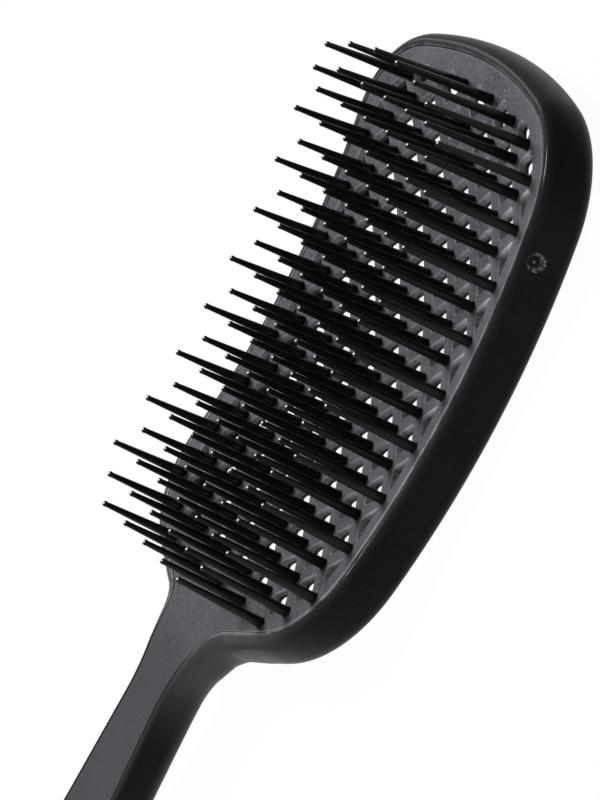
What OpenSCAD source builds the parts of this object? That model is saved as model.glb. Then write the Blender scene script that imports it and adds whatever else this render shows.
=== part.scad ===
// Detangling brush with an open, vented head. The pins point up, the long axis
// runs along Y with the head at +Y, and the brush rests on its back.

/* [Head] */
// Half width of the front plate across the head
head_half_w = 35.2; // [30:0.1:42]
// Distance from the middle of the dish to the top edge of the front plate
head_top = 54.4; // [53:0.1:60]
// Radius of the dish that the pins stand in
dish_r = 212; // [190:1:300]
// Radius of the shallow curve along the top edge
top_r = 90; // [75:1:140]
// Radius of the two top corners of the front plate
top_corner_r = 17; // [12:0.5:18]
// Radius of the two lower corners of the front plate
low_corner_r = 20; // [12:0.5:21]
// How far the lower corners lie below the middle of the dish
low_corner_y = 47.7; // [47:0.1:52]
// How far the shoulders drop from the lower corners to the neck
shoulder_h = 11.5; // [10:0.1:15]
// How far the shoulders stand out past the neck
shoulder_w = 3.5; // [2:0.1:6]
// Radius of the inward curve between head and neck
neck_fillet_r = 9; // [5:0.5:11]

/* [Plates] */
// Thickness of the front plate between the vents
plate_t = 1.5; // [1.35:0.05:2.2]
// Thickness of the rear grille that keeps the pins in
rear_t = 0.6; // [0.5:0.05:1.2]
// Gap between the front plate and the rear grille
plate_gap = 0.05; // [0.02:0.01:0.15]
// Gap between the plates and the shell
seam_gap = 0.12; // [0.05:0.01:0.25]
// Width of the bars between the square vents, which stand on their corners
bar_w = 2.92; // [2.7:0.02:3.8]
// Corner radius of a vent
vent_r = 0.7; // [0.3:0.05:1.1]
// Width of the plain border round the vents
border_w = 3.4; // [3:0.1:4]

/* [Pins] */
// Distance from the side of the front plate to the outermost pins
pin_side_gap = 3.7; // [3.6:0.1:5]
// Distance from the top edge to the first row of the grid
pin_top_gap = 7.15; // [7:0.05:9]
// How far the last row of the grid lies below the lower corners
pin_low_reach_l = 4.8; // [3:0.1:5]
// Length of a pin above the front plate
pin_l = 18.5; // [12:0.5:26]
// How much longer the pins of the top row are
top_row_more_l = 2.2; // [0:0.1:4]
// Diameter of a pin where it leaves the plate
pin_root_d = 2.05; // [1.6:0.05:2.2]
// Diameter of a pin just below its tip
pin_neck_d = 1; // [0.7:0.05:1.3]
// Diameter of the round tip
pin_tip_d = 1.15; // [1.05:0.05:1.5]
// Gap between a pin and its bore, on the radius
pin_gap = 0.04; // [0.02:0.01:0.1]
// Width of the flange past the pin, all round
flange_w = 0.5; // [0.35:0.05:0.6]
// Thickness of the flange
flange_t = 0.4; // [0.3:0.05:0.45]
// Distance at which the pins of one row would meet
lean_x_r = 170; // [150:5:400]
// Distance at which the pins of one column would meet
lean_y_r = 620; // [300:10:900]
// How far the middle of the top row stands above the grid
top_row_rise_h = 1.95; // [1:0.05:2.2]
// How far the ends of the top row fall below its middle
top_row_drop_h = 3.8; // [3:0.1:4]
// How far the pins nearest the top corners are drawn in, along X and along Y
corner_pull_w = 1.9; // [1.5:0.1:2]
// How far the last row is drawn in towards the head
last_row_shift_l = 0.5; // [0:0.1:0.6]

/* [Shell] */
// Width of the lip beside the seam of the head
lip_w = 0.8; // [0.5:0.05:1.1]
// How far the wall of the head stands out past the seam
bulge_w = 3.9; // [2.8:0.1:5]
// Depth at which the wall of the head is widest
bulge_depth = 6.8; // [5:0.1:7.2]
// Depth of the shell round the head
head_depth = 10; // [9:0.1:12]
// Distance from the seam to the outside of the back edge
back_edge_w = 1.3; // [1.2:0.1:2]
// Width of the back edge
back_edge_t = 1; // [0.8:0.1:1.1]
// Width of the ledge that carries the plates
ledge_w = 1.7; // [1.2:0.1:1.9]
// Thickness of that ledge
ledge_t = 1.1; // [0.8:0.1:1.6]

/* [Handle] */
// Distance from the middle of the dish to the end of the front plate
handle_end = 181; // [172:1:200]
// Half width of the front plate at the neck
neck_half_w = 5.7; // [5.2:0.1:7]
// Distance from the middle of the dish to the narrowest part of the neck
neck_y = 74; // [72:0.5:84]
// Half width of the front plate at the widest part of the grip
grip_half_w = 11; // [9.5:0.1:13]
// Distance from the middle of the dish to the widest part of the grip
grip_y = 146; // [135:1:150]
// Radius of the bend where the dish turns into the flat handle
neck_bend_r = 45; // [35:1:60]
// Width of the lip beside the seam of the handle
handle_lip_w = 0.5; // [0.45:0.05:0.9]
// How far the shell of the handle stands out past the seam
handle_bulge_w = 1.5; // [1.2:0.1:2.5]
// Depth at which the neck is widest
neck_bulge_depth = 3.5; // [3:0.1:4.5]
// Depth at which the grip is widest
grip_bulge_depth = 6; // [5:0.1:7]
// Depth of the neck
neck_depth = 10; // [9:0.1:12]
// Half width of the flat along the back of the handle
back_flat_half_w = 2.4; // [2:0.1:3]
// How far the front falls away towards the end
tail_drop_h = 2.6; // [1:0.1:4]
// Corner radius of the end of the handle
end_corner_r = 8; // [5:0.5:9]

/* [Hidden] */

// Counts of the grid: rows run across the head, and row 0 is at the top. A
// long row has this many gaps between its middle pin and its outermost one.
last_row = 19;
side_pins = 3;

// Small sizes of the plates and pins
flange_lift_h = 0.32;
pocket_gap = 0.06;
bore_over_l = 2;
rear_inset_w = 0.5;
rear_stop_l = 1.7;
seam_round_r = 0.3;
edge_round_r = 0.5;
inner_inset_w = 0.2;

// Steps of the curves
smooth_fn = 360;
round_fn = 32;
arc_steps = 8;
fillet_steps = 5;
wall_steps = 5;
side_steps = 5;
handle_steps = 9;
bend_steps = 24;
tip_steps = 6;

// Shares of the handle's length, from the neck to the end
back_swell_shares = [0.18, 0.5];
back_rise_share = 0.86;
tail_start_share = 0.42;

// Other shares: of the shoulder's drop, the grip's width and the tail's drop
bend_share = 0.1;
neck_start_share = 0.72;
end_taper_share = 0.92;
end_rise_share = 0.6;

// Sizes worked out from the ones above
pin_pitch = (head_half_w - pin_side_gap) / side_pins;
grid_top_y = head_top - pin_top_gap;
row_step = (grid_top_y + low_corner_y + pin_low_reach_l) / last_row;
vent_side = min(pin_pitch, 2 * row_step) / sqrt(2) - bar_w;
stack_t = plate_t + plate_gap + rear_t;
ledge_depth = stack_t + seam_gap;
bore_r = pin_root_d / 2 + pin_gap;
flange_r = pin_root_d / 2 + flange_w;
shoulder_x = neck_half_w + shoulder_w;
shoulder_y = -(low_corner_y + shoulder_h);
handle_l = handle_end - neck_y;
bend_y = shoulder_y + shoulder_h * bend_share;
bend_w = mix(shoulder_x, head_half_w, bend_share);
bend_angle = asin(-bend_y / dish_r);
front_z = dish_z(bend_w, bend_y) + neck_bend_r * (1 - cos(bend_angle));
flat_y = bend_y - neck_bend_r * sin(bend_angle);
tail_y = -(neck_y + handle_l * tail_start_share);
tail_l = handle_end + tail_y;
tail_r = (tail_l * tail_l + tail_drop_h * tail_drop_h) / (2 * tail_drop_h);
rest_z = dish_z(head_half_w + back_edge_w, 0, head_depth);
neck_back_z = front_z - neck_depth;
end_rise = tail_drop_h * end_rise_share;
neck_start = low_corner_y + shoulder_h * neck_start_share;
spine_end_y = end_corner_r - handle_end;
origin_y = (handle_end + handle_bulge_w - head_top - bulge_w) / 2;

function clamp01(t) = min(1, max(0, t));
function smooth(t) = let (c = clamp01(t)) c * c * (3 - 2 * c);
function mix(a, b, t) = a + (b - a) * t;
function unit(v) = v / norm(v);
function row_name(i) = str("pin_row_", i < 9 ? "0" : "", i + 1);

// Height of the dish at a place, at a depth below its surface
function dish_z(x, y, depth = 0) = dish_r - sqrt(pow(dish_r + depth, 2) - x * x - y * y);

// Height of the handle's front: a bend, a flat and a falling tail
function handle_z(y) =
    y > flat_y ? front_z - neck_bend_r + sqrt(pow(neck_bend_r, 2) - pow(y - flat_y, 2))
    : y > tail_y ? front_z
    : front_z - tail_r + sqrt(tail_r * tail_r - pow(y - tail_y, 2));

// Height of the whole front at a depth below its surface
function face_z(p, depth = 0) =
    p[1] > bend_y ? dish_z(p[0], p[1], depth)
    : p[1] > flat_y ? min(dish_z(p[0], p[1], depth), handle_z(p[1]) - depth)
    : handle_z(p[1]) - depth;

// How far the neck has come in and the grip has swelled, from 0 to 1
function along(y) = (-y - neck_y) / handle_l;
function neck_mix(y) = smooth((-y - neck_start) / (neck_y - neck_start));
function grip_mix(y) =
    smooth((along(y) - back_swell_shares[0]) / (back_swell_shares[1] - back_swell_shares[0]));

// Height of the handle's back: thin at the neck, then down to the rest face
function back_z(y) =
    mix(neck_back_z, rest_z, grip_mix(y))
    + end_rise * smooth((along(y) - back_rise_share) / (1 - back_rise_share));

// Depth of the shell, from the front to its back edge
function depth_at(p) = mix(head_depth, face_z(p) - back_z(p[1]), neck_mix(p[1]));

// Points of an arc
function arc_points(c, r, from, to, steps) =
    [for (k = [0 : steps]) let (a = mix(from, to, k / steps)) c + r * [cos(a), sin(a)]];

// Round off the corner at q between p and s
function corner(p, q, s, r, steps) =
    let (a = unit(p - q), b = unit(s - q), half = acos(a * b) / 2)
    let (t = r / tan(half), c = q + unit(a + b) * r / sin(half))
    let (u = q + a * t - c, v = q + b * t - c)
    let (from = atan2(u[1], u[0]), turn = atan2(u[0] * v[1] - u[1] * v[0], u * v))
    arc_points(c, r, from, from + turn, steps);

function line_points(p, q, steps) = [for (k = [1 : steps - 1]) p + (q - p) * k / steps];
function but_last(points) = [for (k = [0 : len(points) - 2]) points[k]];
function flip_x(points) = [for (p = points) [-p[0], p[1]]];
function reversed(points) = [for (k = [len(points) - 1 : -1 : 0]) points[k]];

// Right half of the seam, from the middle of the top edge to the neck
top_c = [0, head_top - top_r];
top_corner_c = [head_half_w - top_corner_r,
    top_c[1] + sqrt(pow(top_r - top_corner_r, 2) - pow(head_half_w - top_corner_r, 2))];
top_turn = atan2(top_corner_c[1] - top_c[1], top_corner_c[0]);
side_top = [head_half_w, top_corner_c[1]];
side_middle = [head_half_w, 0];
low_corner = [head_half_w, -low_corner_y];
shoulder = [shoulder_x, shoulder_y];
neck = [neck_half_w, -neck_y];
grip = [grip_half_w, -grip_y];
end_corner = [grip_half_w * end_taper_share, -handle_end];
low_arc = corner(side_middle, low_corner, shoulder, low_corner_r, arc_steps);
neck_arc = corner(low_corner, shoulder, neck, neck_fillet_r, fillet_steps);
head_half = concat(
    but_last(arc_points(top_c, top_r, 90, top_turn, fillet_steps)),
    arc_points(top_corner_c, top_corner_r, top_turn, 0, arc_steps),
    line_points(side_top, side_middle, side_steps),
    [side_middle],
    line_points(side_middle, low_arc[0], side_steps),
    low_arc,
    line_points(low_arc[arc_steps], neck_arc[0], 2),
    neck_arc);

// Right half of the seam, from the neck to the middle of the end
neck_half = corner(shoulder, neck, grip, neck_y / 2, handle_steps);
grip_half = corner(neck, grip, end_corner, grip_y, handle_steps);
end_half = corner(grip, end_corner, [0, -handle_end], end_corner_r, arc_steps);
handle_half = concat(
    neck_half,
    line_points(neck_half[handle_steps], grip_half[0], side_steps),
    grip_half,
    line_points(grip_half[handle_steps], end_half[0], 3),
    end_half);
seam_half = concat(head_half, handle_half);

// Outlines, drawn in by an inset along the normals of the seam
function point_at(points, k) =
    k < 0 ? [-points[1][0], points[1][1]]
    : k < len(points) ? points[k] : [-points[k - 1][0], points[k - 1][1]];
function normal_at(points, k) =
    let (d = point_at(points, k + 1) - point_at(points, k - 1)) unit([-d[1], d[0]]);
function drawn_in(points, inset) =
    [for (k = [0 : len(points) - 1]) points[k] - normal_at(points, k) * inset];

module outline(points, inset) {
    half = drawn_in(points, inset);
    polygon(concat(half, reversed(flip_x(half))));
}

// Pins of row i: how many, where they stand and how they lean
function pin_count(i) = 2 * side_pins + (i == last_row ? -1 : i % 2);
function grid_x(i, k) = (k - (pin_count(i) - 1) / 2) * pin_pitch;
function grid_y(i) = grid_top_y - i * row_step;
function length_of(i) = i == 0 ? pin_l + top_row_more_l : pin_l;
top_end_x = grid_x(0, pin_count(0) - 1);
function pulled(i, k) = i < 2 && (k == 0 || k == pin_count(i) - 1);
function pin_x(i, k) = let (x = grid_x(i, k)) pulled(i, k) ? x - sign(x) * corner_pull_w : x;
function top_row_y(x) =
    grid_y(0) + top_row_rise_h - top_row_drop_h * pow(x / (top_end_x - corner_pull_w), 2);
function pin_y(i, k) =
    i == 0 ? top_row_y(pin_x(i, k))
    : i == last_row ? grid_y(i) + last_row_shift_l
    : pulled(i, k) ? grid_y(i) - corner_pull_w : grid_y(i);

// Stand something on the dish where pin k of row i is, along the pin
module at_pin(i, k) {
    x = pin_x(i, k);
    y = pin_y(i, k);
    lean = unit([-x / lean_x_r, -y / lean_y_r, 1]);
    translate([x, y, dish_z(x, y)])
        rotate([-asin(lean[1]), atan2(lean[0], lean[2]), 0])
            children();
}

// Vents of row i
function vent_count(i) = 2 * side_pins + (i == 0 || i == last_row - 1 ? -1 : 1 - i % 2);

module vent() {
    c = (vent_side / 2 - vent_r) * sqrt(2);
    polygon([for (side = [0 : 3], k = [0 : 2])
        let (a = side * 90, b = a + (k - 1) * 45)
        c * [cos(a), sin(a)] + vent_r * [cos(b), sin(b)]]);
}

module vents() {
    intersection() {
        outline(head_half, border_w);
        union() {
            for (i = [0 : last_row - 1], k = [0 : vent_count(i) - 1]) {
                translate([(k - (vent_count(i) - 1) / 2) * pin_pitch, grid_y(i)]) vent();
            }
        }
    }
}

// A ball whose poles lie beside the dish
module ball(r) {
    translate([0, 0, dish_r]) rotate([0, -90, 0]) sphere(r, $fn = smooth_fn);
}

prism_low = rest_z;
prism_high = front_z + head_depth;

module prism(points, inset) {
    translate([0, 0, prism_low])
        linear_extrude(prism_high - prism_low) outline(points, inset);
}

// Everything below the handle's front, at a depth below it
module under_handle(depth) {
    line = concat(
        [for (k = [0 : bend_steps]) let (y = mix(bend_y, flat_y, k / bend_steps))
            [y, handle_z(y) - depth]],
        [for (k = [0 : bend_steps]) let (y = mix(tail_y, -handle_end - bore_over_l, k / bend_steps))
            [y, handle_z(y) - depth]]);
    rotate([90, 0, 90])
        linear_extrude(4 * head_half_w, center = true)
            polygon(concat(
                [[head_top + bore_over_l, prism_low - bore_over_l],
                    [head_top + bore_over_l, prism_high + bore_over_l],
                    [bend_y, prism_high + bore_over_l]],
                line,
                [[-handle_end - bore_over_l, prism_low - bore_over_l]]));
}

// Vented front plate with the face of the handle, one moulding
module front_plate() {
    color("#4d5054") difference() {
        intersection() {
            prism(seam_half, 0);
            under_handle(0);
        }
        ball(dish_r);
        difference() {
            under_handle(stack_t);
            ball(dish_r + plate_t);
        }
        translate([0, 0, prism_low - bore_over_l])
            linear_extrude(prism_high - prism_low + 2 * bore_over_l) vents();
        for (i = [0 : last_row], k = [0 : pin_count(i) - 1]) at_pin(i, k) {
            translate([0, 0, -plate_t - bore_over_l])
                cylinder(r = bore_r, h = plate_t + 2 * bore_over_l, $fn = round_fn);
            translate([0, 0, -plate_t - bore_over_l])
                cylinder(r = flange_r + pocket_gap, $fn = round_fn,
                    h = bore_over_l + flange_lift_h + flange_t + pocket_gap);
        }
    }
}

// Thin grille behind the front plate, with the same vents
module rear_grille() {
    stop_y = shoulder_y + rear_stop_l;
    color("#3f4246") difference() {
        intersection() {
            prism(head_half, rear_inset_w);
            translate([-2 * head_half_w, stop_y, prism_low])
                cube([4 * head_half_w, head_top - stop_y, prism_high - prism_low]);
            ball(dish_r + stack_t);
        }
        ball(dish_r + plate_t + plate_gap);
        translate([0, 0, prism_low - bore_over_l])
            linear_extrude(prism_high - prism_low + 2 * bore_over_l) vents();
    }
}

// One row of pins, each with a flange below the plate and a round tip
module pins(i) {
    tip_r = pin_tip_d / 2;
    neck_r = pin_neck_d / 2;
    tip_from = -acos(neck_r / tip_r);
    low = flange_lift_h - plate_t;
    profile = concat(
        [[0, low], [flange_r, low], [flange_r, low + flange_t], [pin_root_d / 2, low + flange_t],
            [pin_root_d / 2, 0]],
        [for (k = [0 : tip_steps]) let (a = mix(tip_from, 90, k / tip_steps))
            [k == tip_steps ? 0 : tip_r * cos(a), length_of(i) - tip_r + tip_r * sin(a)]]);
    color("#17181a") for (k = [0 : pin_count(i) - 1]) at_pin(i, k)
        rotate_extrude($fn = round_fn) polygon(profile);
}

// Section of the shell's wall at a point of the seam: the ledge, the lip, the
// outer wall down to the back edge, and the inner wall up to the ledge again.
// Each point is [x, y, depth].
ledge_low = ledge_depth + ledge_t;
ring_end = len(head_half) - 1;
shell_end = len(seam_half) - 1;
outer_end = 3 + 2 * wall_steps;
section_n = outer_end + 5;

function back_edge_at(p, n) =
    let (head = p + n * back_edge_w, s = [0, max(p[1], spine_end_y)])
    p[1] > -neck_start ? head
    : mix(head, s + unit(p - s) * back_flat_half_w, neck_mix(p[1]));

function section(i) =
    let (p = seam_half[i], n = normal_at(seam_half, i), m = neck_mix(p[1]), g = grip_mix(p[1]))
    let (w = mix(bulge_w, handle_bulge_w, m), lip = mix(lip_w, handle_lip_w, m))
    let (e = back_edge_at(p, n), d = depth_at(p))
    let (wd = mix(mix(bulge_depth, neck_bulge_depth, m), grip_bulge_depth, g), b = p + n * w)
    concat(
        [at_depth(p + n * seam_gap, ledge_depth),
            at_depth(p + n * seam_gap, seam_round_r),
            at_depth(p + n * (seam_gap + seam_round_r), 0)],
        [for (k = [0 : wall_steps]) let (a = 90 * k / wall_steps)
            at_depth(p + n * mix(lip, w, sin(a)), wd * (1 - cos(a)))],
        [for (k = [1 : wall_steps]) let (a = 90 * k / wall_steps)
            at_depth(mix(b, e, 1 - cos(a)), mix(wd, d, sin(a)))],
        [at_depth(e - n * back_edge_t, d - edge_round_r),
            at_depth(p - n * inner_inset_w, ledge_low),
            at_depth(p - n * ledge_w, ledge_low),
            at_depth(p - n * ledge_w, ledge_depth)]);

function at_depth(p, depth) = [p[0], p[1], depth];

// Stand a section point in space. Below the ledge its depth is stretched to
// the depth of the shell right there, so that the back comes out level.
function placed(i, q) =
    let (full = depth_at(seam_half[i]), here = depth_at(q))
    let (stretch = (here - ledge_low) / (full - ledge_low))
    let (depth = q[2] <= ledge_low ? q[2] : ledge_low + (q[2] - ledge_low) * stretch)
    [q[0], q[1], face_z(q, depth)];

// Order of the section points behind the neck, where the shell is filled
filled = concat([section_n - 1], [for (q = [0 : outer_end]) q]);
filled_n = len(filled);
right_points = concat(
    [for (i = [0 : ring_end]) let (s = section(i)) for (q = s) placed(i, q)],
    [for (i = [ring_end + 1 : shell_end]) let (s = section(i)) for (q = filled) placed(i, s[q])]);
left_points = [for (k = [section_n : len(right_points) - 1])
    [-right_points[k][0], right_points[k][1], right_points[k][2]]];

function right(i, q) =
    i <= ring_end ? i * section_n + q
    : (ring_end + 1) * section_n + (i - ring_end - 1) * filled_n
        + (q == section_n - 1 ? 0 : q + 1);
function left(i, q) = i == 0 ? q : right(i, q) + len(right_points) - section_n;
function halves(a, b, c, d) = [[a, b, c], [a, c, d]];

shell_faces = concat(
    [for (i = [0 : ring_end - 1], q = [0 : section_n - 1]) let (t = (q + 1) % section_n)
        for (f = concat(
            halves(right(i, q), right(i, t), right(i + 1, t), right(i + 1, q)),
            halves(left(i, t), left(i, q), left(i + 1, q), left(i + 1, t)))) f],
    [for (i = [ring_end : shell_end - 1], k = [0 : filled_n - 2])
        let (q = filled[k], t = filled[k + 1])
        for (f = concat(
            halves(right(i, q), right(i, t), right(i + 1, t), right(i + 1, q)),
            halves(left(i, t), left(i, q), left(i + 1, q), left(i + 1, t)))) f],
    [for (i = [ring_end : shell_end - 1], f = concat(
        halves(right(i, outer_end), left(i, outer_end),
            left(i + 1, outer_end), right(i + 1, outer_end)),
        halves(left(i, section_n - 1), right(i, section_n - 1),
            right(i + 1, section_n - 1), left(i + 1, section_n - 1)))) f],
    [for (q = [outer_end : section_n - 2],
        f = halves(right(ring_end, q), right(ring_end, q + 1),
            left(ring_end, q + 1), left(ring_end, q))) f],
    [for (k = [0 : filled_n - 2], f = halves(
        right(shell_end, filled[k]), right(shell_end, filled[k + 1]),
        left(shell_end, filled[k + 1]), left(shell_end, filled[k]))) f]);

// One-piece shell: the rim of the head, the neck and the back of the handle
module back_shell() {
    color("#1e1f22")
        polyhedron(points = concat(right_points, left_points), faces = shell_faces, convexity = 8);
}

translate([0, origin_y, -rest_z]) {
    front_plate();
    rear_grille();
    back_shell();
    for (i = [0 : last_row]) {
        pins(i);
    }
}
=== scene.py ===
"""Detangling brush: a charcoal vented plate with stiff pins, held in a near-black shell."""

import math
from types import SimpleNamespace

import bmesh
import bpy
from bpy.props import FloatProperty, IntProperty, PointerProperty, StringProperty
from mathutils import Matrix, Vector
from mathutils.geometry import delaunay_2d_cdt


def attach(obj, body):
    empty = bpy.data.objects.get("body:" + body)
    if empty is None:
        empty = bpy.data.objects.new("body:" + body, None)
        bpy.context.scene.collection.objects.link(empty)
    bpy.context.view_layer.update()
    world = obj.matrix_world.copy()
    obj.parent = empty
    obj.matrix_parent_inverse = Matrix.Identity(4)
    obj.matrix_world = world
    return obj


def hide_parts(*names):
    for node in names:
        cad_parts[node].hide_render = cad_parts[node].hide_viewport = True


bl_info = {
    "name": "Detangling brush",
    "version": (1, 0, 0),
    "blender": (4, 5, 0),
    "location": "3D View > Sidebar > Brush",
    "description": "Builds the plate, grille, shell and pins of a vented brush, and its stage",
    "category": "Add Mesh",
}

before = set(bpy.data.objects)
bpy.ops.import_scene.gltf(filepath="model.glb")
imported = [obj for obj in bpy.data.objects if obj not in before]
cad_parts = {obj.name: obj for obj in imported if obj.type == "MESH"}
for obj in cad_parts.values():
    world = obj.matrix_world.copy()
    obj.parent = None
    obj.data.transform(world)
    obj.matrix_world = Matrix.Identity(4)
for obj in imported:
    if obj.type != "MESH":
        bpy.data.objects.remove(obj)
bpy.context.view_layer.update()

MM = 0.001
BODY = "root"


def length(name, default_mm, description):
    """A size that a user may change, given in millimetres and kept in metres."""
    return FloatProperty(name=name, default=default_mm * MM, min=0.0, precision=5,
                         unit="LENGTH", description=description)


def colour(name, default, description):
    """A colour that a user may change, as an sRGB hex value."""
    return StringProperty(name=name, default=default, description=description)


class BrushSizes(bpy.types.PropertyGroup):
    """Sizes of the brush, the same as those of the solid model."""

    head_half_w: length("Head half width", 35.2, "Half width of the front plate across the head")
    head_top: length("Head top", 54.4, "Middle of the dish to the top edge of the plate")
    dish_r: length("Dish radius", 212, "Radius of the dish that the pins stand in")
    top_r: length("Top edge radius", 90, "Radius of the shallow curve along the top edge")
    top_corner_r: length("Top corner radius", 17, "Radius of the two top corners")
    low_corner_r: length("Lower corner radius", 20, "Radius of the two lower corners")
    low_corner_y: length("Lower corner", 47.7, "Middle of the dish to the lower corners")
    shoulder_drop: length("Shoulder drop", 11.5, "Drop from the lower corners to the neck")
    shoulder_w: length("Shoulder width", 3.5, "How far the shoulders stand out past the neck")
    neck_fillet_r: length("Neck fillet", 9, "Radius of the inward curve between head and neck")
    plate_t: length("Plate thickness", 1.5, "Thickness of the front plate between the vents")
    rear_t: length("Grille thickness", 0.6, "Thickness of the rear grille")
    plate_gap: length("Plate gap", 0.05, "Gap between the front plate and the rear grille")
    seam_gap: length("Seam gap", 0.12, "Gap between the plates and the shell")
    vent_side: length("Vent side", 4.5, "Side of one square vent")
    vent_r: length("Vent corner radius", 0.7, "Corner radius of a vent")
    vent_edge_r: length("Vent edge radius", 0.3, "Rounding of a vent's front edge")
    border_w: length("Border", 3.4, "Width of the plain border round the vents")
    pin_pitch: length("Pin pitch", 10.5, "Distance between two pins of one row")
    pin_l: length("Pin length", 18.5, "Length of a pin above the plate")
    top_row_more_l: length("Top row more", 2.2, "How much longer the pins of the top row are")
    pin_root_d: length("Pin root", 2.05, "Diameter of a pin where it leaves the plate")
    pin_neck_d: length("Pin neck", 1.0, "Diameter of a pin just below its tip")
    pin_tip_d: length("Pin tip", 1.15, "Diameter of the round tip")
    pin_gap: length("Pin gap", 0.04, "Gap between a pin and its bore")
    flange_w: length("Flange width", 0.5, "Width of the flange past the pin")
    flange_t: length("Flange thickness", 0.4, "Thickness of the flange")
    flange_lift: length("Flange lift", 0.32, "Height of the flange above the plate's back")
    lean_x_r: length("Lean across", 170, "Distance at which the pins of one row would meet")
    lean_y_r: length("Lean along", 620, "Distance at which the pins of one column would meet")
    top_row_rise: length("Top row rise", 1.95, "Rise of the top row's middle above the grid")
    top_row_drop: length("Top row drop", 3.8, "Fall of the top row's ends below its middle")
    corner_pull: length("Corner pull", 1.9, "How far the pins at the top corners are drawn in")
    last_row_shift: length("Last row shift", 0.5, "How far the last row is drawn in")
    lip_w: length("Lip", 0.8, "Width of the lip beside the seam of the head")
    handle_lip_w: length("Handle lip", 0.5, "Width of the lip beside the seam of the handle")
    bulge_w: length("Head bulge", 3.9, "How far the head's wall stands out past the seam")
    bulge_depth: length("Head bulge depth", 6.8, "Depth at which the head's wall is widest")
    head_depth: length("Head depth", 10, "Depth of the shell round the head")
    gate_y: length("Gate mark", 28.4, "Middle of the dish to the gate mark in the head's wall")
    gate_r: length("Gate mark radius", 1.75, "Radius of the round gate mark")
    back_edge_w: length("Back edge", 1.3, "Seam to the outside of the back edge")
    back_edge_t: length("Back edge width", 1, "Width of the back edge")
    ledge_w: length("Ledge", 1.7, "Width of the ledge that carries the plates")
    ledge_t: length("Ledge thickness", 1.1, "Thickness of that ledge")
    handle_end: length("Handle end", 181, "Middle of the dish to the end of the plate")
    neck_half_w: length("Neck half width", 5.7, "Half width of the plate at the neck")
    neck_y: length("Neck", 74, "Middle of the dish to the narrowest part of the neck")
    grip_half_w: length("Grip half width", 11, "Half width of the plate at the grip")
    grip_y: length("Grip", 146, "Middle of the dish to the widest part of the grip")
    neck_bend_r: length("Neck bend", 45, "Radius of the bend into the flat handle")
    handle_bulge_w: length("Handle bulge", 1.5, "How far the handle's shell stands out")
    neck_bulge_depth: length("Neck bulge depth", 3.5, "Depth at which the neck is widest")
    grip_bulge_depth: length("Grip bulge depth", 6, "Depth at which the grip is widest")
    neck_depth: length("Neck depth", 10, "Depth of the neck")
    back_flat_half_w: length("Back flat", 2.4, "Half width of the flat along the handle's back")
    tail_drop: length("Tail drop", 2.6, "How far the front falls away towards the end")
    end_corner_r: length("End corner radius", 8, "Corner radius of the end of the handle")
    round_steps: IntProperty(name="Round steps", default=24, min=8, max=64,
                             description="Faces round a pin")


class BrushColours(bpy.types.PropertyGroup):
    """Colours of the finishes."""

    plate: colour("Plate", "#37393D", "Charcoal of the moulded front plate")
    grille: colour("Grille", "#404347", "Charcoal of the rear grille")
    shell: colour("Shell", "#0F0F12", "Near black of the shell")
    pins: colour("Pins", "#09090A", "Black of the pins")
    floor: colour("Floor", "#F4F4F2", "Pale floor")


# Surfaces of the brush

LAST_ROW = 19
MIDDLE_ROW = 9
SEAM_ROUND = 0.12 * MM
PLATE_ROUND = 0.22 * MM
LIP_CUT = 0.18 * MM
EDGE_ROUND = 0.5 * MM
INNER_INSET = 0.2 * MM
SWELL_SHARES = (0.18, 0.5)
RISE_SHARE = 0.86
TAIL_SHARE = 0.42
BEND_SHARE = 0.1
NECK_START_SHARE = 0.72
END_TAPER_SHARE = 0.92
END_RISE_SHARE = 0.6
CORNER_ROOM_SHARE = 0.45
MITRE_LIMIT = 2
GATE_TURN = math.radians(56)
TIP_END = math.radians(84)

# Steps of the meshes
ARC_STEPS = 18
SIDE_STEPS = 12
SHOULDER_STEPS = 4
TAIL_STEPS = 6
VENT_STEPS = 4
BORE_STEPS = 16
SEAM_STEPS = 4
WALL_START = SEAM_STEPS + 2
WALL_STEPS = 12
TIP_STEPS = 8
# Rings at the top of a pin on which its highlight is painted
HIGHLIGHT_RINGS = 7

# Tolerances: two places that touch, two points in one, and a straight line
TOUCHING = 1e-9
NEAR = 0.25 * MM
STRAIGHT = math.radians(8)


def mix(a, b, t):
    return a + (b - a) * t


def smooth(t):
    t = min(1.0, max(0.0, t))
    return t * t * (3 - 2 * t)


def arc(centre, radius, start, end, steps):
    """Points of an arc between two angles, both ends included."""
    angles = [mix(start, end, k / steps) for k in range(steps + 1)]
    return [centre + radius * Vector((math.cos(a), math.sin(a))) for a in angles]


def between(p, q, steps):
    """Points along a line, both ends left out."""
    return [p.lerp(q, k / steps) for k in range(1, steps)]


def corner(p, q, s, radius, steps):
    """The arc that rounds off the corner at q between p and s."""
    a, b = (p - q).normalized(), (s - q).normalized()
    half = math.acos(max(-1.0, min(1.0, a.dot(b)))) / 2
    reach = radius / math.tan(half)
    centre = q + (a + b).normalized() * radius / math.sin(half)
    u, v = q + a * reach - centre, q + b * reach - centre
    start = math.atan2(u.y, u.x)
    turn = math.atan2(u.x * v.y - u.y * v.x, u.dot(v))
    return arc(centre, radius, start, start + turn, steps)


def normals(points):
    """Outward normals along the right half of the seam, which is closed by its mirror image."""
    ahead = points[1:] + [Vector((-points[-1].x, points[-1].y))]
    behind = [Vector((-points[1].x, points[1].y))] + points[:-1]
    steps = [(a - b).normalized() for a, b in zip(ahead, behind)]
    return [Vector((-t.y, t.x)) for t in steps]


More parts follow.
